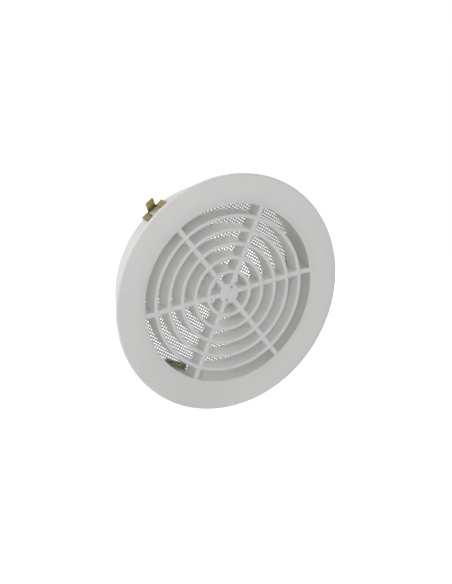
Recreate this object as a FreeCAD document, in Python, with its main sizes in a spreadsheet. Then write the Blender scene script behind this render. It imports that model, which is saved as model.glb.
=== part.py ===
"""Round vent grille that pushes into a 125 mm duct, in millimetres.

The duct axis is Y. The face looks towards -Y, the collar runs into the duct
along +Y and 12 o'clock on the face is +Z. The origin is on the axis, in the
plane of the flange's back, which lies on the wall.
"""
import FreeCAD, Part
import math
import os

import Sketcher

# Driving dimensions

SIZES = (
    ("flange_overhang", 11.5, "flange past the outside of the collar"),
    ("flange_thickness", 1.6, "front face to back of the flange"),
    ("flange_edge_round", 1.2, "rounding of the flange's outer front edge"),
    ("flange_facet_count", 3, "flat facets in that rounding"),
    ("opening_lip", 2.5, "flange past the inside of the collar"),
    ("opening_bevel", 0.5, "bevel on the opening's front edge"),
    ("collar_radius", 58.5, "outside of the collar"),
    ("collar_wall", 3.3, "wall of the collar"),
    ("collar_length", 26.8, "back of the flange to the collar's rear rim"),
    ("rim_bevel", 0.5, "bevel on the outer edge of the collar's rim"),
    ("ring_recess", 0.5, "ring fronts behind the face"),
    ("ring_depth", 12.0, "front to back of a ring"),
    ("ring_wall", 2.2, "thickness of a ring"),
    ("ring_bevel", 0.5, "bevels on a ring's front edges"),
    ("ring_count", 5, "number of rings, spread evenly from hub to opening"),
    ("spoke_recess", 1.1, "spoke fronts behind the face"),
    ("spoke_depth", 9.6, "front to back of a spoke"),
    ("spoke_wall", 3.0, "thickness of a spoke"),
    ("spoke_bevel", 0.35, "bevels on a spoke's front edges"),
    ("spoke_count", 6, "number of spokes"),
    ("hub_radius", 5.95, "outside of the hub"),
    ("hub_depth", 9.0, "front to back of the hub's skirt"),
    ("hub_front_wall", 2.2, "front disc of the hub"),
    ("hub_skirt_wall", 1.0, "skirt of the hub"),
    ("hub_bevel", 0.4, "bevel on the hub's front edge"),
    ("hub_hole", 1.6, "diameter of the two holes in the hub"),
    ("hub_hole_offset", 4.0, "hub holes from the axis"),
    ("gate_dimple_radius", 1.3, "dimple round the moulding gate"),
    ("gate_dimple_depth", 0.3, "depth of that dimple"),
    ("gate_radius", 0.5, "stub left by the moulding gate"),
    ("mesh_clearance", 0.5, "edge of the mesh to the collar's inside"),
    ("mesh_inset", 1.2, "back of the mesh in front of the collar's rim"),
    ("mesh_wall", 0.28, "web of the mesh between its ridges"),
    ("mesh_ridge", 0.14, "height of a ridge above the web"),
    ("mesh_ridge_width", 1.0, "width of a ridge"),
    ("mesh_pitch", 10.0, "from one gap to the next"),
    ("mesh_gap", 7.0, "side of a square gap"),
    ("mesh_border", 1.0, "least web outside the gaps"),
    ("mesh_turn", 10.0, "turn of the mesh from 12 o'clock, in degrees"),
    ("clip_sheet", 0.5, "sheet of the spring clips"),
    ("clip_width", 15.4, "width of a clip"),
    ("clip_tab_length", 7.0, "outer tabs forward from the rim"),
    ("clip_leg_reach", 2.6, "inner leg behind the mesh, past its bend"),
    ("clip_bend", 0.2, "inside radius of the clip's bends"),
    ("clip_fit", 0.05, "clip to the collar and to the mesh"),
    ("clip_count", 3, "number of clips"),
    ("first_clip_turn", 60.0, "first clip from 12 o'clock, in degrees"),
    ("tongue_width", 5.6, "width of the spring tongue"),
    ("tongue_slot", 0.4, "slot each side of the tongue"),
    ("tongue_rise", 10.0, "tip of the tongue past the outside of the collar"),
    ("tongue_tip_reach", 8.3, "tip of the tongue in front of the rim"),
    ("tongue_tip_bevel", 0.6, "bevels at the tip's corners"),
)

CLIP_NAMES = ("spring_clip_upper_right", "spring_clip_bottom", "spring_clip_upper_left")

document = FreeCAD.newDocument("round_vent_grille")
sheet = document.addObject("Spreadsheet::Sheet", "sizes")


class Size:
    """A length as a number and as the sheet expression that it comes from."""

    def __init__(self, value, text):
        self.value = float(value)
        self.text = text

    def __add__(self, other):
        other = as_size(other)
        return Size(self.value + other.value, f"({self.text} + {other.text})")

    def __sub__(self, other):
        other = as_size(other)
        return Size(self.value - other.value, f"({self.text} - {other.text})")

    def __mul__(self, other):
        other = as_size(other)
        return Size(self.value * other.value, f"({self.text} * {other.text})")

    def __truediv__(self, other):
        other = as_size(other)
        return Size(self.value / other.value, f"({self.text} / {other.text})")

    def __neg__(self):
        return Size(-self.value, f"(0 - {self.text})")


def as_size(amount):
    return amount if isinstance(amount, Size) else Size(amount, repr(float(amount)))


def chord_height(radius, half_width):
    """Height above the axis of a chord of the circle, at half its width."""
    value = math.sqrt(radius.value ** 2 - half_width.value ** 2)
    return Size(value, f"sqrt({radius.text} * {radius.text} - {half_width.text} * {half_width.text})")


size = {}
for row, (alias, amount, meaning) in enumerate(SIZES, start=1):
    sheet.set(f"A{row}", str(amount))
    sheet.setAlias(f"A{row}", alias)
    sheet.set(f"B{row}", meaning)
    size[alias] = Size(amount, f"sizes.{alias}")
document.recompute()

ZERO = as_size(0)
HALF = as_size(0.5)

# Places that follow from the sizes

front_face = -size["flange_thickness"]
flange_radius = size["collar_radius"] + size["flange_overhang"]
collar_inside = size["collar_radius"] - size["collar_wall"]
opening_radius = collar_inside - size["opening_lip"]
ring_pitch = (opening_radius - size["hub_radius"] + size["ring_wall"]) / (size["ring_count"] + 1)
tongue_tip_radius = size["collar_radius"] + size["tongue_rise"]
collar_middle = size["collar_radius"] - size["collar_wall"] * HALF
mesh_radius = collar_inside - size["mesh_clearance"]
mesh_thickness = size["mesh_wall"] + size["mesh_ridge"] * 2
mesh_back = size["collar_length"] - size["mesh_inset"]
mesh_middle = mesh_back - mesh_thickness * HALF


# Drawing helpers

def new_body(label):
    body = document.addObject("PartDesign::Body", label)
    body.Label = label
    return body


def origin_feature(body, role):
    return next(item for item in body.Origin.OriginFeatures if item.Role == role)


def new_sketch(body, name, plane):
    sketch = body.newObject("Sketcher::SketchObject", name)
    sketch.AttachmentSupport = [(origin_feature(body, plane), "")]
    sketch.MapMode = "FlatFace"
    return sketch


def pin(sketch, geometry, point, across, along):
    """Hold a sketch point at its place, measured from the origin."""
    for kind, axis, amount in (("DistanceX", -2, across), ("DistanceY", -1, along)):
        if abs(amount.value) < 1e-9:
            sketch.addConstraint(Sketcher.Constraint("PointOnObject", geometry, point, axis))
        else:
            index = sketch.addConstraint(
                Sketcher.Constraint(kind, -1, 1, geometry, point, amount.value))
            sketch.setExpression(f"Constraints[{index}]", amount.text)


def draw_circle(sketch, across, along, radius):
    centre = FreeCAD.Vector(across.value, along.value, 0)
    circle = sketch.addGeometry(Part.Circle(centre, FreeCAD.Vector(0, 0, 1), radius.value))
    pin(sketch, circle, 3, across, along)
    index = sketch.addConstraint(Sketcher.Constraint("Radius", circle, radius.value))
    sketch.setExpression(f"Constraints[{index}]", radius.text)


def draw_outline(sketch, corners):
    """A closed outline. Each corner is (across, along) or (across, along, rounding)."""
    places = [FreeCAD.Vector(corner[0].value, corner[1].value, 0) for corner in corners]
    count = len(corners)
    arrivals = list(places)
    departures = list(places)
    centres = [None] * count
    for index, (_across, _along, *rounding) in enumerate(corners):
        if not rounding:
            continue
        radius = rounding[0].value
        back = (places[index - 1] - places[index]).normalize()
        ahead = (places[(index + 1) % count] - places[index]).normalize()
        half_angle = back.getAngle(ahead) / 2
        arrivals[index] = places[index] + back * (radius / math.tan(half_angle))
        departures[index] = places[index] + ahead * (radius / math.tan(half_angle))
        centres[index] = places[index] + (back + ahead).normalize() * (radius / math.sin(half_angle))

    lines = [sketch.addGeometry(Part.LineSegment(departures[index], arrivals[(index + 1) % count]))
             for index in range(count)]
    for index, (across, along, *rounding) in enumerate(corners):
        before = lines[index - 1]
        after = lines[index]
        if not rounding:
            sketch.addConstraint(Sketcher.Constraint("Coincident", before, 2, after, 1))
            pin(sketch, after, 1, across, along)
            continue
        arc, start, end = add_arc(sketch, centres[index], arrivals[index], departures[index])
        point = sketch.addGeometry(Part.Point(places[index]), True)
        pin(sketch, point, 1, across, along)
        sketch.addConstraint(Sketcher.Constraint("PointOnObject", point, 1, before))
        sketch.addConstraint(Sketcher.Constraint("PointOnObject", point, 1, after))
        sketch.addConstraint(Sketcher.Constraint("Tangent", before, 2, arc, start))
        sketch.addConstraint(Sketcher.Constraint("Tangent", after, 1, arc, end))
        bound = sketch.addConstraint(Sketcher.Constraint("Radius", arc, rounding[0].value))
        sketch.setExpression(f"Constraints[{bound}]", rounding[0].text)


def add_arc(sketch, centre, arrival, departure):
    """The short arc between two points, with its end numbers at each of them."""
    radius = (arrival - centre).Length
    first = math.atan2(arrival.y - centre.y, arrival.x - centre.x)
    last = math.atan2(departure.y - centre.y, departure.x - centre.x)
    start, end = 1, 2
    if (last - first) % (2 * math.pi) > math.pi:
        first, last = last, first
        start, end = 2, 1
    circle = Part.Circle(centre, FreeCAD.Vector(0, 0, 1), radius)
    arc = sketch.addGeometry(Part.ArcOfCircle(circle, first, first + (last - first) % (2 * math.pi)))
    return arc, start, end


def bevelled_edge(across, front, amount, inward):
    """Corners of an outline's front edge with a bevel of that amount.

    The material lies behind the front and on the inward side of across, +1 or
    -1. Where inward is +1 the corners run from the side to the front, and
    where it is -1 from the front to the side.
    """
    corners = [(across, front + amount), (across + amount * inward, front)]
    return corners if inward > 0 else corners[::-1]


def rounded_edge(across, front, amount, facet_count):
    """Corners of an outer front edge, from the front to the side, rounded in flat facets."""
    corners = []
    for step in range(facet_count + 1):
        angle = math.pi / 2 * step / facet_count
        corners.append((across - amount * (1 - math.sin(angle)),
                        front + amount * (1 - math.cos(angle))))
    return corners


def revolve(body, name, corners):
    """Turn an outline, drawn as (radius, depth), about the duct axis."""
    sketch = new_sketch(body, name + "_outline", "XY_Plane")
    draw_outline(sketch, corners)
    feature = body.newObject("PartDesign::Revolution", name)
    feature.Profile = sketch
    feature.ReferenceAxis = (sketch, ["V_Axis"])
    feature.Angle = 360
    body.Tip = feature
    return feature


def groove(body, name, corners):
    """Take away an outline, drawn as (radius, depth), turned about the duct axis."""
    sketch = new_sketch(body, name + "_outline", "XY_Plane")
    draw_outline(sketch, corners)
    feature = body.newObject("PartDesign::Groove", name)
    feature.Profile = sketch
    feature.ReferenceAxis = (sketch, ["V_Axis"])
    feature.Angle = 360
    body.Tip = feature
    return feature


def pad(body, name, sketch, length, midplane=False, reversed_way=False):
    feature = body.newObject("PartDesign::Pad", name)
    feature.Profile = sketch
    feature.Midplane = midplane
    feature.Reversed = reversed_way
    feature.Length = length.value
    feature.setExpression("Length", length.text)
    body.Tip = feature
    return feature


def pocket(body, name, sketch, length):
    """Cut a sketch to both sides of its plane."""
    feature = body.newObject("PartDesign::Pocket", name)
    feature.Profile = sketch
    feature.Midplane = True
    feature.Length = length.value
    feature.setExpression("Length", length.text)
    body.Tip = feature
    return feature


def polar_pattern(body, name, originals, count, plane_sketch):
    feature = body.newObject("PartDesign::PolarPattern", name)
    feature.Originals = originals
    feature.Axis = (plane_sketch, ["V_Axis"])
    feature.Angle = 360
    feature.Occurrences = int(count.value)
    feature.setExpression("Occurrences", count.text)
    body.Tip = feature
    return feature


# The grille body: flange, collar, rings, spokes and hub in one moulding

def make_grille_body():
    body = new_body("grille_body")
    revolve(body, "flange_and_collar", [
        *bevelled_edge(opening_radius, front_face, size["opening_bevel"], 1),
        *rounded_edge(flange_radius, front_face, size["flange_edge_round"],
                      int(size["flange_facet_count"].value)),
        (flange_radius, ZERO),
        (size["collar_radius"], ZERO),
        (size["collar_radius"], size["collar_length"] - size["rim_bevel"]),
        (size["collar_radius"] - size["rim_bevel"], size["collar_length"]),
        (collar_inside, size["collar_length"]),
        (collar_inside, ZERO),
        (opening_radius, ZERO),
    ])
    add_spokes(body)
    add_rings(body)
    add_hub(body)
    return body


def add_spokes(body):
    front = front_face + size["spoke_recess"]
    back = front + size["spoke_depth"]
    section = new_sketch(body, "spoke_section", "XY_Plane")
    draw_outline(section, [
        *bevelled_edge(-size["spoke_wall"] * HALF, front, size["spoke_bevel"], 1),
        *bevelled_edge(size["spoke_wall"] * HALF, front, size["spoke_bevel"], -1),
        (size["spoke_wall"] * HALF, back),
        (-size["spoke_wall"] * HALF, back),
    ])
    spoke = pad(body, "spoke", section, collar_middle)
    polar_pattern(body, "spokes", [spoke], size["spoke_count"], section)


def add_rings(body):
    front = front_face + size["ring_recess"]
    back = front + size["ring_depth"]
    for number in range(1, int(size["ring_count"].value) + 1):
        outside = size["hub_radius"] + ring_pitch * number
        inside = outside - size["ring_wall"]
        revolve(body, f"ring_{number}", [
            *bevelled_edge(inside, front, size["ring_bevel"], 1),
            *bevelled_edge(outside, front, size["ring_bevel"], -1),
            (outside, back),
            (inside, back),
        ])


def add_hub(body):
    front = front_face + size["ring_recess"]
    inside = size["hub_radius"] - size["hub_skirt_wall"]
    revolve(body, "hub", [
        (ZERO, front),
        *bevelled_edge(size["hub_radius"], front, size["hub_bevel"], -1),
        (size["hub_radius"], front + size["hub_depth"]),
        (ZERO, front + size["hub_depth"]),
    ])
    groove(body, "hub_hollow", [
        (ZERO, front + size["hub_front_wall"]),
        (inside, front + size["hub_front_wall"]),
        (inside, front + size["ring_depth"]),
        (ZERO, front + size["ring_depth"]),
    ])
    groove(body, "gate_dimple", [
        (size["gate_radius"], front - size["gate_dimple_depth"]),
        (size["gate_dimple_radius"], front - size["gate_dimple_depth"]),
        (size["gate_dimple_radius"], front + size["gate_dimple_depth"]),
        (size["gate_radius"], front + size["gate_dimple_depth"]),
    ])
    holes = new_sketch(body, "hub_hole_places", "XZ_Plane")
    for side in (1, -1):
        draw_circle(holes, ZERO, size["hub_hole_offset"] * side, size["hub_hole"] * HALF)
    pocket(body, "hub_holes", holes, size["flange_thickness"] * 2 + size["hub_front_wall"] * 2)


# The insect mesh: one thin web with gaps between ridges that run both ways

def make_insect_mesh():
    body = new_body("insect_mesh")
    half_web = size["mesh_wall"] * HALF
    revolve(body, "web", [
        (ZERO, -half_web),
        (mesh_radius, -half_web),
        (mesh_radius, half_web),
        (ZERO, half_web),
    ])
    gaps = new_sketch(body, "gap_places", "XZ_Plane")
    draw_gaps(gaps)
    pocket(body, "gaps", gaps, mesh_thickness * 2)
    ridge_height = half_web + size["mesh_ridge"]
    for name, upright, rear in (("warp_ridges", True, False), ("weft_ridges", False, True)):
        strips = new_sketch(body, name + "_places", "XZ_Plane")
        draw_ridges(strips, upright)
        pad(body, name, strips, ridge_height, reversed_way=rear)
    turn = FreeCAD.Rotation(FreeCAD.Vector(0, 1, 0), size["mesh_turn"].value)
    body.Placement = FreeCAD.Placement(FreeCAD.Vector(0, mesh_middle.value, 0), turn)
    body.setExpression("Placement.Base.y", mesh_middle.text)
    return body


def mesh_steps():
    """Gap numbers that can lie inside the mesh, counted from its middle."""
    most = int(mesh_radius.value / size["mesh_pitch"].value)
    return range(-most, most + 1)


def draw_gaps(sketch):
    side = size["mesh_gap"].value
    reach = mesh_radius.value - size["mesh_border"].value
    for column in mesh_steps():
        for line in mesh_steps():
            x = column * size["mesh_pitch"].value
            z = line * size["mesh_pitch"].value
            if math.hypot(abs(x) + side / 2, abs(z) + side / 2) <= reach:
                add_rectangle(sketch, x - side / 2, z - side / 2, x + side / 2, z + side / 2)


def draw_ridges(sketch, upright):
    half_width = size["mesh_ridge_width"].value / 2
    for step in mesh_steps():
        middle = (step + 0.5) * size["mesh_pitch"].value
        edge = abs(middle) + half_width
        if edge >= mesh_radius.value:
            continue
        reach = math.sqrt(mesh_radius.value ** 2 - edge ** 2)
        if upright:
            add_rectangle(sketch, middle - half_width, -reach, middle + half_width, reach)
        else:
            add_rectangle(sketch, -reach, middle - half_width, reach, middle + half_width)


def add_rectangle(sketch, left, low, right, high):
    corners = [FreeCAD.Vector(left, low, 0), FreeCAD.Vector(right, low, 0),
               FreeCAD.Vector(right, high, 0), FreeCAD.Vector(left, high, 0)]
    sketch.addGeometry([Part.LineSegment(corners[index - 1], corners[index])
                        for index in range(4)])


# A spring clip: one strip folded over the collar's rim, drawn at 12 o'clock

def make_spring_clip(label, turn):
    body = new_body(label)
    sheet_wall = size["clip_sheet"]
    rim = size["collar_length"] + size["clip_fit"]
    rear = rim + sheet_wall
    outside = size["collar_radius"] + size["clip_fit"]
    inside = chord_height(collar_inside, size["clip_width"] * HALF) - size["clip_fit"]
    leg_front = mesh_back + size["clip_fit"]
    leg_back = leg_front + sheet_wall
    leg_end = inside - sheet_wall - size["clip_leg_reach"]
    tab_end = rim - size["clip_tab_length"]
    outer_bend = size["clip_bend"] + sheet_wall

    saddle_section = new_sketch(body, "saddle_section", "YZ_Plane")
    draw_outline(saddle_section, [
        (tab_end, outside),
        (rim, outside),
        (rim, inside),
        (leg_front, inside, outer_bend),
        (leg_front, leg_end),
        (leg_back, leg_end),
        (leg_back, inside - sheet_wall),
        (rear, inside - sheet_wall, outer_bend),
        (rear, outside + sheet_wall, outer_bend),
        (tab_end, outside + sheet_wall),
    ])
    pad(body, "saddle", saddle_section, size["clip_width"], midplane=True)

    slot_section = new_sketch(body, "slot_section", "YZ_Plane")
    draw_outline(slot_section, [
        (tab_end - sheet_wall, outside - size["clip_fit"]),
        (rim, outside - size["clip_fit"]),
        (rim, outside + sheet_wall * 2),
        (tab_end - sheet_wall, outside + sheet_wall * 2),
    ])
    pocket(body, "slot", slot_section, size["tongue_width"] + size["tongue_slot"] * 2)

    tongue_section = new_sketch(body, "tongue_section", "YZ_Plane")
    tip_depth = rim - size["tongue_tip_reach"]
    draw_tongue(tongue_section, (rear, outside), (tip_depth, tongue_tip_radius))
    pad(body, "tongue", tongue_section, size["tongue_width"], midplane=True)
    bevel_tongue_tip(body, tip_depth)
    body.Placement = FreeCAD.Placement(
        FreeCAD.Vector(0, 0, 0), FreeCAD.Rotation(FreeCAD.Vector(0, 1, 0), turn))
    return body


def draw_tongue(sketch, root, tip):
    """The tongue's section: from the saddle's back it leans out and forward."""
    sheet_wall = size["clip_sheet"]
    start = FreeCAD.Vector(root[0].value, root[1].value, 0)
    end = FreeCAD.Vector(tip[0].value, tip[1].value, 0)
    along = (end - start).normalize()
    inward = FreeCAD.Vector(-along.y, along.x, 0) * sheet_wall.value
    corners = [start, end, end + inward, start + inward]
    lines = [sketch.addGeometry(Part.LineSegment(corners[index], corners[(index + 1) % 4]))
             for index in range(4)]
    outer, cap, inner, foot = lines
    for index in range(4):
        sketch.addConstraint(
            Sketcher.Constraint("Coincident", lines[index - 1], 2, lines[index], 1))
    pin(sketch, outer, 1, *root)
    pin(sketch, outer, 2, *tip)
    sketch.addConstraint(Sketcher.Constraint("Parallel", outer, inner))
    sketch.addConstraint(Sketcher.Constraint("Perpendicular", outer, cap))
    sketch.addConstraint(Sketcher.Constraint("Perpendicular", outer, foot))
    bound = sketch.addConstraint(Sketcher.Constraint("Distance", cap, sheet_wall.value))
    sketch.setExpression(f"Constraints[{bound}]", sheet_wall.text)


def bevel_tongue_tip(body, tip_depth):
    """Bevel the two corners of the tip, whose edges run through the sheet."""
    document.recompute()
    tongue = body.Tip
    tip = FreeCAD.Vector(0, tip_depth.value, tongue_tip_radius.value)
    sheet_wall = size["clip_sheet"].value
    corners = []
    for number, edge in enumerate(tongue.Shape.Edges, start=1):
        box = edge.BoundBox
        middle = FreeCAD.Vector(0, box.Center.y, box.Center.z)
        if middle.distanceToPoint(tip) < sheet_wall and box.XLength < sheet_wall:
            corners.append(f"Edge{number}")
    bevel = body.newObject("PartDesign::Chamfer", "tip_bevels")
    bevel.Base = (tongue, corners)
    bevel.Size = size["tongue_tip_bevel"].value
    bevel.setExpression("Size", size["tongue_tip_bevel"].text)
    body.Tip = bevel


# Build, check and write

def check_model(bodies):
    for item in document.Objects:
        if "Invalid" in item.State or "Error" in item.State:
            raise RuntimeError(f"{item.Name} failed: {item.State}")
    for body in bodies:
        if body.Shape.isNull() or not body.Shape.isValid():
            raise RuntimeError(f"{body.Label} has no valid shape")


parts = [make_grille_body(), make_insect_mesh()]
for order, clip_name in enumerate(CLIP_NAMES):
    clip_turn = size["first_clip_turn"].value + order * 360 / size["clip_count"].value
    parts.append(make_spring_clip(clip_name, clip_turn))
document.recompute()
check_model(parts)

os.makedirs("parts", exist_ok=True)
for part in parts:
    part.Shape.exportStep(f"parts/{part.Label}.step")
    box = part.Shape.BoundBox
    print(f"{part.Label}: {len(part.Shape.Solids)} solid, {part.Shape.Volume:.0f} mm3, "
          f"x {box.XMin:.1f} {box.XMax:.1f}, y {box.YMin:.1f} {box.YMax:.1f}, "
          f"z {box.ZMin:.1f} {box.ZMax:.1f}")
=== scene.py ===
import math
import random

import bmesh
import bpy
from mathutils import Matrix, Vector


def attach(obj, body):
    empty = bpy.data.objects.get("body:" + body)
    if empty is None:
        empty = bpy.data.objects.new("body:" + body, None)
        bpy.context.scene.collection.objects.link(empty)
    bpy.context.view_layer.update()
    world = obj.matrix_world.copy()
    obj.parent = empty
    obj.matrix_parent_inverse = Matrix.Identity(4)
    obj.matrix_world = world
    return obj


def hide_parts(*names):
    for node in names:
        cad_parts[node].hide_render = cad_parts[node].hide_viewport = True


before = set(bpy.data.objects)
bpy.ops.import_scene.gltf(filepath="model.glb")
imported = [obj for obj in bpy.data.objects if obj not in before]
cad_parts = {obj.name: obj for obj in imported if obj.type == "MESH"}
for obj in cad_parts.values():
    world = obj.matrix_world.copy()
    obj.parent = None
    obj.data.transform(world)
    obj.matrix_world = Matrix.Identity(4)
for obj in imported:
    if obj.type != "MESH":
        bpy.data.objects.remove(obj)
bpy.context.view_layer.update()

MM = 0.001

# Places of the CAD part that the pieces here are fitted to, in millimetres. Depths run
# along Y, from the flange's face into the duct, and radii are taken from the duct axis.

FACE = -1.6
FLANGE_RADIUS = 70.0
OPENING = 52.7
COLLAR_OUTSIDE = 58.5
COLLAR_INSIDE = 55.2
RIM = 26.8

RING_COUNT = 5
RING_FRONT = FACE + 0.5
RING_BACK = RING_FRONT + 12.0
RING_WALL = 2.2
RING_PITCH = 8.158

SPOKE_COUNT = 6
SPOKE_FRONT = FACE + 1.1
SPOKE_BACK = SPOKE_FRONT + 9.6
SPOKE_HALF = 1.5

HUB_RADIUS = 5.95
HUB_INSIDE = HUB_RADIUS - 1.0
HUB_WALL_BACK = RING_FRONT + 2.2
HUB_BACK = RING_FRONT + 9.0
HOLE_OFFSET = 4.0

# Rounding of the edges of rings and spokes, and how far spokes run into hub and collar

RING_EDGE = 0.6
SPOKE_EDGE = 0.75
BACK_EDGE = 0.2
SPOKE_OVERLAP = 0.6

# Outlines that are turned about the duct axis: radius, depth and rounding of each corner

COLLAR_OUTLINE = (
    (OPENING, FACE, 0.5),
    (FLANGE_RADIUS, FACE, 1.15),
    (FLANGE_RADIUS, 0, 0.15),
    (COLLAR_OUTSIDE, 0, 0.4),
    (COLLAR_OUTSIDE, RIM, 0.5),
    (COLLAR_INSIDE, RIM, 0.15),
    (COLLAR_INSIDE, 0, 0.5),
    (OPENING, 0, 0.25),
)
GATE_MARK = (
    (0, RING_FRONT + 0.04, 0),
    (0.5, RING_FRONT + 0.04, 0.1),
    (0.62, RING_FRONT + 0.3, 0.1),
    (1.05, RING_FRONT + 0.3, 0.12),
    (1.35, RING_FRONT, 0.15),
)
HUB_OUTLINE = (
    *GATE_MARK,
    (HUB_RADIUS, RING_FRONT, 0.55),
    (HUB_RADIUS, HUB_BACK, 0.15),
    (HUB_INSIDE, HUB_BACK, 0.15),
    (HUB_INSIDE, HUB_WALL_BACK, 0.3),
    (0, HUB_WALL_BACK, 0),
)

# A hole in the hub: its radius at each depth below the hub's face, from the flared mouth

HOLE_STATIONS = ((1.3, -0.3), (1.0, 0.0), (0.86, 0.1), (0.8, 0.3), (0.8, 3.0))

# How finely round forms are cut up, and the angles above which an edge is shaded sharp

SEGMENTS = 240
HOLE_SEGMENTS = 36
ROUNDING_STEPS = 5
SHARP_ANGLE = 35
YARN_SHARP_ANGLE = 60

# The insect mesh: how it lies, its yarns, and how unevenly they are laid and cut

MESH_TURN = math.radians(10)
MESH_DEPTH = 25.32
MESH_RADIUS = COLLAR_INSIDE - 0.15
YARN_PITCH = 1.6
YARN_RADIUS = 0.36
YARN_SIDES = 6
YARN_CRIMP = 0.19
OUTERMOST_YARN = MESH_RADIUS - 0.8
SHORTEST_STRETCH = 0.5
PITCH_SCATTER = 0.05
RIM_SCATTER = 0.45
CUT_SCATTER = (-0.1, 0.5)

# Where the mesh is cut back at a clip: clock angle of the cut's middle, the distances
# from the axis at which warp and weft yarns end, and half the width of the cut

TRIMS = ((60, 51.5, 51.5, 7.9), (180, 52.9, 51.5, 7.2), (300, 51.8, 51.8, 7.9))

# Colours along a ramp: place on the ramp and colour

PLASTIC_COLOURS = ((0.25, (0.905, 0.905, 0.89)), (0.75, (0.94, 0.94, 0.925)))
YARN_COLOURS = ((0.3, (0.74, 0.74, 0.715)), (0.7, (0.82, 0.82, 0.80)))
FLOOR_COLOURS = ((0.3, (0.93, 0.93, 0.93)), (0.7, (0.96, 0.96, 0.96)))
ZINC_COLOURS = (
    (0.32, (0.22, 0.17, 0.09)),
    (0.43, (0.50, 0.42, 0.17)),
    (0.52, (0.74, 0.66, 0.24)),
    (0.62, (0.64, 0.59, 0.26)),
    (0.74, (0.42, 0.33, 0.20)),
)

# Tone of a clip between two distances from the axis, in metres: pale inner leg, partly the
# zinc's own colour and partly painted light where the leg lies in shade, brown tabs, bright
# tongue and grey tip

CLIP_REACH = (0.050, 0.070)
CLIP_TONES = (
    (0.28, (0.90, 0.92, 1.0)),
    (0.38, (0.38, 0.32, 0.25)),
    (0.47, (0.44, 0.40, 0.31)),
    (0.56, (1.0, 0.97, 0.74)),
    (0.84, (0.95, 0.93, 0.78)),
    (0.92, (0.62, 0.64, 0.95)),
)

# Painted shade on the lowest clip's inner leg, near black where the leg lies in shadow:
# colour, the heights over which it sets in, and the height above which there is none, in metres

PAINTED_SHADE = (0.03, 0.03, 0.02, 1)
PAINTED_SHADE_START = (-0.0535, -0.0531)
PAINTED_SHADE_END = -0.03

# Camera at the photograph's viewing angle: sensor and focal length in millimetres, place
# in metres, and the directions of its own axes

SENSOR_WIDTH = 36
FOCAL_LENGTH = 100.55
CAMERA_PLACE = (-0.496354, -0.768696, 0.126682)
CAMERA_RIGHT = Vector((0.810679, -0.462299, 0.359276))
CAMERA_UP = Vector((-0.235911, 0.303698, 0.923100))
CAMERA_BACK = Vector((-0.535859, -0.833095, 0.137140))

# Round lamps that point at the origin: name, place and width in metres, power in watts

LAMPS = (
    ("key", (-0.36, -0.60, 0.03), 0.28, 0.9),
    ("top", (-0.10, -0.60, 0.60), 0.50, 0.6),
    ("side", (-0.80, 0.22, 0.12), 0.30, 1.8),
    ("back", (0.30, 0.80, 0.40), 0.50, 2.8),
)
SOFT_LIGHT = 0.28
FLOOR_HALF = 1.5
FLOOR_HEIGHT = -0.0702
FLOOR_GLOW = 0.84
WHITE = (1, 1, 1, 1)

scene = bpy.context.scene
scene.view_settings.view_transform = "Standard"


def put(name, data):
    """A new object in the scene."""
    item = bpy.data.objects.new(name, data)
    scene.collection.objects.link(item)
    return item


def make_camera():
    data = bpy.data.cameras.new("camera")
    data.sensor_width = SENSOR_WIDTH
    data.lens = FOCAL_LENGTH
    data.clip_start = 0.01
    data.clip_end = 20
    camera = put("camera", data)
    turn = Matrix((CAMERA_RIGHT, CAMERA_UP, CAMERA_BACK)).transposed()
    camera.matrix_world = Matrix.Translation(CAMERA_PLACE) @ turn.to_4x4()
    scene.camera = camera


# Node materials. Noise scales count per metre and bump distances are in metres.

def add(owner, kind, **settings):
    """A node whose settings are socket values where a socket has the name."""
    node = owner.node_tree.nodes.new(kind)
    for name, value in settings.items():
        if name in node.inputs:
            node.inputs[name].default_value = value
        else:
            setattr(node, name, value)
    return node


def wire_up(owner, *links):
    for start, end in links:
        owner.node_tree.links.new(start, end)


def new_material(name, values):
    """A material, its shader with the socket values given, and the object coordinates."""
    material = bpy.data.materials.new(name)
    material.use_nodes = True
    material.node_tree.nodes.clear()
    output = add(material, "ShaderNodeOutputMaterial")
    shader = add(material, "ShaderNodeBsdfPrincipled")
    for socket, value in values.items():
        shader.inputs[socket].default_value = value
    wire_up(material, (shader.outputs["BSDF"], output.inputs["Surface"]))
    return material, shader, add(material, "ShaderNodeTexCoord").outputs["Object"]


def noise(material, place, **settings):
    node = add(material, "ShaderNodeTexNoise", **settings)
    wire_up(material, (place, node.inputs["Vector"]))
    return node.outputs["Fac"]


def ramp(material, source, stops):
    node = add(material, "ShaderNodeValToRGB")
    elements = node.color_ramp.elements
    while len(elements) < len(stops):
        elements.new(0.5)
    for element, (place, colour) in zip(elements, stops):
        element.position = place
        element.color = (*colour, 1)
    wire_up(material, (source, node.inputs["Fac"]))
    return node.outputs["Color"]


def remapped(material, source, start=(0.0, 1.0), end=(0.0, 1.0)):
    """The source's range from start to end, with nothing beyond its limits."""
    node = add(material, "ShaderNodeMapRange")
    for name, value in zip(("From Min", "From Max", "To Min", "To Max"), (*start, *end)):
        node.inputs[name].default_value = value
    wire_up(material, (source, node.inputs["Value"]))
    return node.outputs["Result"]


def bumped(material, shader, *layers):
    """Bumps the shader by layers of (height, strength, distance), from the coarsest on."""
    normal = None
    for height, strength, distance in layers:
        node = add(material, "ShaderNodeBump", Strength=strength, Distance=distance)
        wire_up(material, (height, node.inputs["Height"]))
        if normal:
            wire_up(material, (normal, node.inputs["Normal"]))
        normal = node.outputs["Normal"]
    wire_up(material, (normal, shader.inputs["Normal"]))


def seen_rays(owner):
    """1 for rays from the camera or off a glossy surface, and 0 for all others."""
    rays = add(owner, "ShaderNodeLightPath")
    seen = add(owner, "ShaderNodeMath", operation="MAXIMUM")
    wire_up(owner, (rays.outputs["Is Camera Ray"], seen.inputs[0]),
            (rays.outputs["Is Glossy Ray"], seen.inputs[1]))
    return seen.outputs["Value"]


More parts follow.
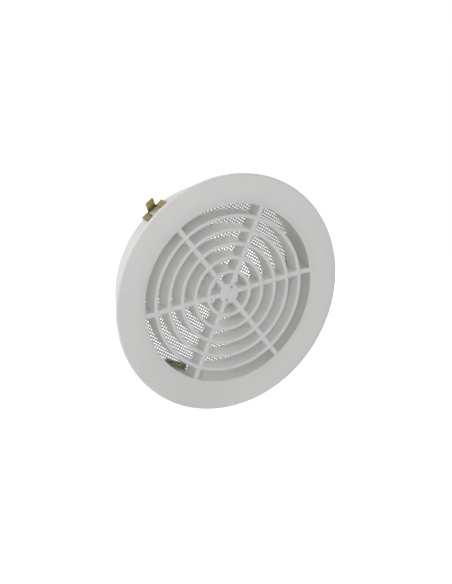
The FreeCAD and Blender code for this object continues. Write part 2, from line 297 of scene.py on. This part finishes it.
def moulded_plastic():
    """Off-white PVC: a faint mottle, shallow waves with a varying gloss and a fine skin."""
    material, shader, place = new_material("pale_pvc", {
        "Specular IOR Level": 0.4,
        "Subsurface Weight": 0.35,
        "Subsurface Radius": (0.003, 0.003, 0.0027),
        "Subsurface Scale": 1.0,
    })
    mottle = noise(material, place, Scale=38.0, Detail=3.0, Roughness=0.55)
    waves = noise(material, place, Scale=120.0, Detail=2.0, Roughness=0.5)
    skin = noise(material, place, Scale=2600.0, Detail=2.0, Roughness=0.5)
    wire_up(material,
            (ramp(material, mottle, PLASTIC_COLOURS), shader.inputs["Base Color"]),
            (remapped(material, waves, end=(0.36, 0.52)), shader.inputs["Roughness"]))
    bumped(material, shader, (waves, 0.25, 0.00025), (skin, 0.12, 0.00006))
    return material


def mesh_yarn():
    """Coated yarn of the insect mesh: pale grey with small changes along it."""
    material, shader, place = new_material("mesh_yarn", {"Roughness": 0.55})
    patches = noise(material, place, Scale=160.0, Detail=3.0, Roughness=0.6)
    grain = noise(material, place, Scale=4200.0, Detail=2.0, Roughness=0.5)
    wire_up(material, (ramp(material, patches, YARN_COLOURS), shader.inputs["Base Color"]))
    bumped(material, shader, (grain, 0.3, 0.00004))
    return material


def yellow_zinc():
    """Yellow zinc plating on spring steel: straw to brown patches, with its tone by place, and
    a painted shade on the lowest clip's inner leg.
    """
    material, shader, place = new_material("yellow_zinc", {"Metallic": 0.85})
    drift = noise(material, place, Scale=150.0, Detail=4.0, Roughness=0.55, Distortion=0.8)
    rolling = noise(material, place, Scale=1500.0, Detail=3.0, Roughness=0.6)
    toned = add(material, "ShaderNodeMix", data_type="RGBA", blend_type="MULTIPLY")
    toned.inputs["Factor"].default_value = 1.0
    # Painted shade: the lowest clip's inner leg is darkened to near black
    painted_shade_mix = add(material, "ShaderNodeMix", data_type="RGBA")
    painted_shade_mix.inputs["B"].default_value = PAINTED_SHADE
    wire_up(material,
            (ramp(material, drift, ZINC_COLOURS), toned.inputs["A"]),
            (clip_tone(material, place), toned.inputs["B"]),
            (toned.outputs["Result"], painted_shade_mix.inputs["A"]),
            (painted_shade_mask(material, place), painted_shade_mix.inputs["Factor"]),
            (painted_shade_mix.outputs["Result"], shader.inputs["Base Color"]),
            (remapped(material, drift, end=(0.26, 0.46)), shader.inputs["Roughness"]))
    bumped(material, shader, (rolling, 0.15, 0.00005))
    return material


def clip_tone(material, place):
    """The clips' tone by distance from the duct axis, with painted light on the shaded inner
    leg.
    """
    across = add(material, "ShaderNodeVectorMath", operation="MULTIPLY")
    across.inputs[1].default_value = (1, 0, 1)
    radius = add(material, "ShaderNodeVectorMath", operation="LENGTH")
    wire_up(material, (place, across.inputs[0]), (across.outputs["Vector"], radius.inputs[0]))
    return ramp(material, remapped(material, radius.outputs["Value"], CLIP_REACH), CLIP_TONES)


def painted_shade_mask(material, place):
    """1 where shade is painted, on the inner leg of the lowest clip, and 0 elsewhere."""
    parts = add(material, "ShaderNodeSeparateXYZ")
    below = add(material, "ShaderNodeMath", operation="LESS_THAN")
    below.inputs[1].default_value = PAINTED_SHADE_END
    both = add(material, "ShaderNodeMath", operation="MULTIPLY")
    wire_up(material, (place, parts.inputs["Vector"]),
            (parts.outputs["Z"], below.inputs[0]),
            (remapped(material, parts.outputs["Z"], PAINTED_SHADE_START), both.inputs[0]),
            (below.outputs["Value"], both.inputs[1]))
    return both.outputs["Value"]


# Meshes from rings of points

def clock(radius, degrees, depth):
    """A point at a radius and a clock angle on the face, in metres."""
    angle = math.radians(degrees)
    return Vector((radius * math.sin(angle), depth, radius * math.cos(angle))) * MM


def rounded(corners):
    """Points along an outline whose corners are (across, depth, rounding)."""
    points = []
    for index, (across, depth, rounding) in enumerate(corners):
        corner = Vector((across, depth))
        if rounding == 0:
            points.append(corner)
            continue
        back = (Vector(corners[index - 1][:2]) - corner).normalized()
        ahead = (Vector(corners[(index + 1) % len(corners)][:2]) - corner).normalized()
        half = back.angle(ahead) / 2
        centre = corner + (back + ahead).normalized() * (rounding / math.sin(half))
        start = corner + back * (rounding / math.tan(half)) - centre
        end = corner + ahead * (rounding / math.tan(half)) - centre
        first = math.atan2(start.y, start.x)
        sweep = (math.atan2(end.y, end.x) - first + math.pi) % (2 * math.pi) - math.pi
        for step in range(ROUNDING_STEPS + 1):
            angle = first + sweep * step / ROUNDING_STEPS
            points.append(centre + Vector((math.cos(angle), math.sin(angle))) * rounding)
    return points


def turned(corners):
    """The rings of an outline that is turned about the duct axis."""
    outline = rounded(corners)
    return [[clock(point.x, 360 * step / SEGMENTS, point.y) for point in outline]
            for step in range(SEGMENTS)]


def bridge(rings, closed):
    """The vertices and faces of a skin over rings of points, each of the same length.

    The last ring leads back to the first when closed. Otherwise both have a cap.
    """
    count = len(rings[0])
    vertices = [point for ring in rings for point in ring]
    faces = []
    for step in range(len(rings) if closed else len(rings) - 1):
        here = step * count
        there = (step + 1) % len(rings) * count
        for index in range(count):
            follow = (index + 1) % count
            faces.append((here + index, here + follow, there + follow, there + index))
    if not closed:
        last = (len(rings) - 1) * count
        faces.append(tuple(range(count)))
        faces.append(tuple(range(last, last + count)))
    return vertices, faces


def smooth(data, sharp):
    """Shade a mesh smooth apart from edges above an angle in degrees."""
    data.polygons.foreach_set("use_smooth", [True] * len(data.polygons))
    data.set_sharp_from_angle(angle=math.radians(sharp))


def finished_mesh(name, vertices, faces, sharp):
    """A mesh with outward normals, shaded smooth."""
    data = bpy.data.meshes.new(name)
    data.from_pydata(vertices, [], faces)
    form = bmesh.new()
    form.from_mesh(data)
    bmesh.ops.remove_doubles(form, verts=form.verts, dist=0.001 * MM)
    bmesh.ops.recalc_face_normals(form, faces=form.faces)
    form.to_mesh(data)
    form.free()
    smooth(data, sharp)
    return data


def make_shell(name, rings, closed):
    return put(name, finished_mesh(name, *bridge(rings, closed), SHARP_ANGLE))


def combined(base, others, operation):
    """The mesh of the base after a boolean with the others. All of them are used up."""
    operands = bpy.data.collections.new("operands")
    scene.collection.children.link(operands)
    for item in others:
        scene.collection.objects.unlink(item)
        operands.objects.link(item)
    change = base.modifiers.new("change", "BOOLEAN")
    change.operation = operation
    change.solver = "EXACT"
    change.operand_type = "COLLECTION"
    change.collection = operands
    view = bpy.context.evaluated_depsgraph_get()
    data = bpy.data.meshes.new_from_object(base.evaluated_get(view))
    for item in [base, *others]:
        bpy.data.objects.remove(item)
    bpy.data.collections.remove(operands)
    return data


# The moulding: flange, collar, rings, spokes and hub

def bar_section(near, far, front, back, edge):
    """Corners of a ring's or a spoke's section, with its front edges rounded."""
    return ((near, front, edge), (far, front, edge),
            (far, back, BACK_EDGE), (near, back, BACK_EDGE))


def make_ring(number):
    """A ring, counted outwards from the hub."""
    outside = HUB_RADIUS + RING_PITCH * number
    section = bar_section(outside - RING_WALL, outside, RING_FRONT, RING_BACK, RING_EDGE)
    return make_shell("ring", turned(section), True)


def make_spoke(degrees):
    """A spoke from the hub to the collar, at a clock angle."""
    outline = rounded(bar_section(-SPOKE_HALF, SPOKE_HALF, SPOKE_FRONT, SPOKE_BACK, SPOKE_EDGE))
    turn = Matrix.Rotation(math.radians(degrees), 3, "Y")
    stations = (HUB_RADIUS - SPOKE_OVERLAP, 20, 35, COLLAR_INSIDE + SPOKE_OVERLAP)
    rings = [[turn @ Vector((point.x, point.y, radius)) * MM for point in outline]
             for radius in stations]
    return make_shell("spoke", rings, False)


def make_hole(height):
    """What a hole in the hub takes away, at a height above the axis."""
    angles = [math.radians(360 * step / HOLE_SEGMENTS) for step in range(HOLE_SEGMENTS)]
    rings = [[Vector((radius * math.sin(angle), RING_FRONT + depth,
                      height + radius * math.cos(angle))) * MM for angle in angles]
             for radius, depth in HOLE_STATIONS]
    return make_shell("hole", rings, False)


def make_hub():
    """The hub's disc and skirt with two round holes."""
    blank = make_shell("hub_blank", turned(HUB_OUTLINE), True)
    holes = [make_hole(HOLE_OFFSET), make_hole(-HOLE_OFFSET)]
    return put("hub", combined(blank, holes, "DIFFERENCE"))


def make_moulding(material):
    collar = make_shell("collar", turned(COLLAR_OUTLINE), True)
    others = [make_hub()]
    others += [make_ring(number) for number in range(1, RING_COUNT + 1)]
    others += [make_spoke(number * 360 / SPOKE_COUNT) for number in range(SPOKE_COUNT)]
    data = combined(collar, others, "UNION")
    smooth(data, SHARP_ANGLE)
    data.materials.clear()
    data.materials.append(material)
    moulding = put("moulding", data)
    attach(moulding, "root")
    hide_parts("grille_body")


# The insect mesh: two sets of crimped yarns that pass over and under each other

def trimmed(start, along, low, high, upright, dice):
    """The stretches of a yarn that are left where the mesh is cut back at the clips.

    The yarn is start + s * along, with s from low to high, all in millimetres.
    """
    stretches = [(low, high)]
    for degrees, warp_end, weft_end, half_width in TRIMS:
        distance = warp_end if upright else weft_end
        angle = math.radians(degrees)
        outward = Vector((math.sin(angle), 0, math.cos(angle)))
        across = Vector((math.cos(angle), 0, -math.sin(angle)))
        left, right = low, high
        for axis, least, most in ((outward, distance, math.inf),
                                  (across, -half_width, half_width)):
            base, slope = start.dot(axis), along.dot(axis)
            limits = sorted(((least - base) / slope, (most - base) / slope))
            left, right = max(left, limits[0]), min(right, limits[1])
        if left >= right:
            continue
        left += dice.uniform(*CUT_SCATTER)
        right -= dice.uniform(*CUT_SCATTER)
        kept = []
        for first, last in stretches:
            kept += [(first, min(last, left)), (max(first, right), last)]
        stretches = [(first, last) for first, last in kept
                     if last - first > SHORTEST_STRETCH]
    return stretches


def crimped(start, along, first, last, sign):
    """Points along a stretch of yarn that waves by the pitch, in metres."""
    steps = max(3, round((last - first) / (YARN_PITCH / 2)))
    points = []
    for step in range(steps + 1):
        place = first + (last - first) * step / steps
        wave = sign * YARN_CRIMP * math.cos(math.pi * place / YARN_PITCH)
        points.append((start + along * place + Vector((0, MESH_DEPTH + wave, 0))) * MM)
    return points


def tube_rings(points):
    """The rings of a yarn's skin along the points."""
    rings = []
    radius = YARN_RADIUS * MM
    angles = [2 * math.pi * step / YARN_SIDES for step in range(YARN_SIDES)]
    for index, point in enumerate(points):
        ahead = points[min(index + 1, len(points) - 1)]
        behind = points[max(index - 1, 0)]
        along = (ahead - behind).normalized()
        side = along.cross(Vector((0, 1, 0))).normalized()
        normal = side.cross(along).normalized()
        rings.append([point + side * (math.cos(angle) * radius)
                      + normal * (math.sin(angle) * radius) for angle in angles])
    return rings


def make_yarns(name, upright, seed, material):
    """The warp of the mesh when upright, and else its weft."""
    dice = random.Random(seed)
    warp = Vector((math.sin(MESH_TURN), 0, math.cos(MESH_TURN)))
    weft = Vector((math.cos(MESH_TURN), 0, -math.sin(MESH_TURN)))
    along, sideways = (warp, weft) if upright else (weft, warp)
    vertices, faces = [], []
    most = int(MESH_RADIUS / YARN_PITCH)
    for number in range(-most, most + 1):
        offset = number * YARN_PITCH + dice.uniform(-PITCH_SCATTER, PITCH_SCATTER)
        if abs(offset) > OUTERMOST_YARN:
            continue
        reach = math.sqrt(MESH_RADIUS ** 2 - offset ** 2)
        low = -reach + dice.uniform(0, RIM_SCATTER)
        high = reach - dice.uniform(0, RIM_SCATTER)
        sign = 1 if (number + upright) % 2 else -1
        start = sideways * offset
        for first, last in trimmed(start, along, low, high, upright, dice):
            points = crimped(start, along, first, last, sign)
            more_vertices, more_faces = bridge(tube_rings(points), False)
            faces += [tuple(len(vertices) + corner for corner in face) for face in more_faces]
            vertices += more_vertices
    data = finished_mesh(name, vertices, faces, YARN_SHARP_ANGLE)
    data.materials.append(material)
    yarns = put(name, data)
    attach(yarns, "root")
    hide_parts("insect_mesh")


def dress_node(name, material):
    """Give a node of the CAD part its only material."""
    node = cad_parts[name]
    node.data.materials.clear()
    node.data.materials.append(material)
    for polygon in node.data.polygons:
        polygon.material_index = 0


# Light, floor and background

def make_lamp(name, place, width, power):
    data = bpy.data.lights.new(name, "AREA")
    data.shape = "DISK"
    data.size = width
    data.energy = power
    lamp = put(name, data)
    lamp.location = place
    lamp.rotation_mode = "QUATERNION"
    lamp.rotation_quaternion = (-Vector(place)).to_track_quat("-Z", "Y")


def make_world():
    """Soft light from all round, behind a background that is seen as white."""
    world = bpy.data.worlds.new("studio")
    world.use_nodes = True
    world.node_tree.nodes.clear()
    output = add(world, "ShaderNodeOutputWorld")
    soft = add(world, "ShaderNodeBackground", Color=WHITE, Strength=SOFT_LIGHT)
    white = add(world, "ShaderNodeBackground", Color=WHITE, Strength=1.0)
    mix = add(world, "ShaderNodeMixShader")
    wire_up(world, (seen_rays(world), mix.inputs["Fac"]),
            (soft.outputs["Background"], mix.inputs[1]),
            (white.outputs["Background"], mix.inputs[2]),
            (mix.outputs["Shader"], output.inputs["Surface"]))
    scene.world = world


def make_floor():
    """A plain pale floor under the part: seen as white, apart from the part's shadow."""
    sides = ((-1, -1), (1, -1), (1, 1), (-1, 1))
    corners = [(FLOOR_HALF * x, FLOOR_HALF * y, FLOOR_HEIGHT) for x, y in sides]
    data = bpy.data.meshes.new("floor")
    data.from_pydata(corners, [], [(0, 1, 2, 3)])
    material, shader, place = new_material("pale_floor", {
        "Roughness": 0.9,
        "Specular IOR Level": 0.0,
        "Emission Color": WHITE,
    })
    grain = noise(material, place, Scale=900.0, Detail=2.0)
    glow = add(material, "ShaderNodeMath", operation="MULTIPLY")
    glow.inputs[1].default_value = FLOOR_GLOW
    wire_up(material,
            (ramp(material, grain, FLOOR_COLOURS), shader.inputs["Base Color"]),
            (seen_rays(material), glow.inputs[0]),
            (glow.outputs["Value"], shader.inputs["Emission Strength"]))
    data.materials.append(material)
    floor = put("floor", data)


make_camera()
make_moulding(moulded_plastic())
yarn = mesh_yarn()
make_yarns("mesh_warp", upright=True, seed=7, material=yarn)
make_yarns("mesh_weft", upright=False, seed=11, material=yarn)
zinc = yellow_zinc()
for clip in ("spring_clip_upper_right", "spring_clip_bottom", "spring_clip_upper_left"):
    dress_node(clip, zinc)
make_world()
make_floor()
for lamp_settings in LAMPS:
    make_lamp(*lamp_settings)
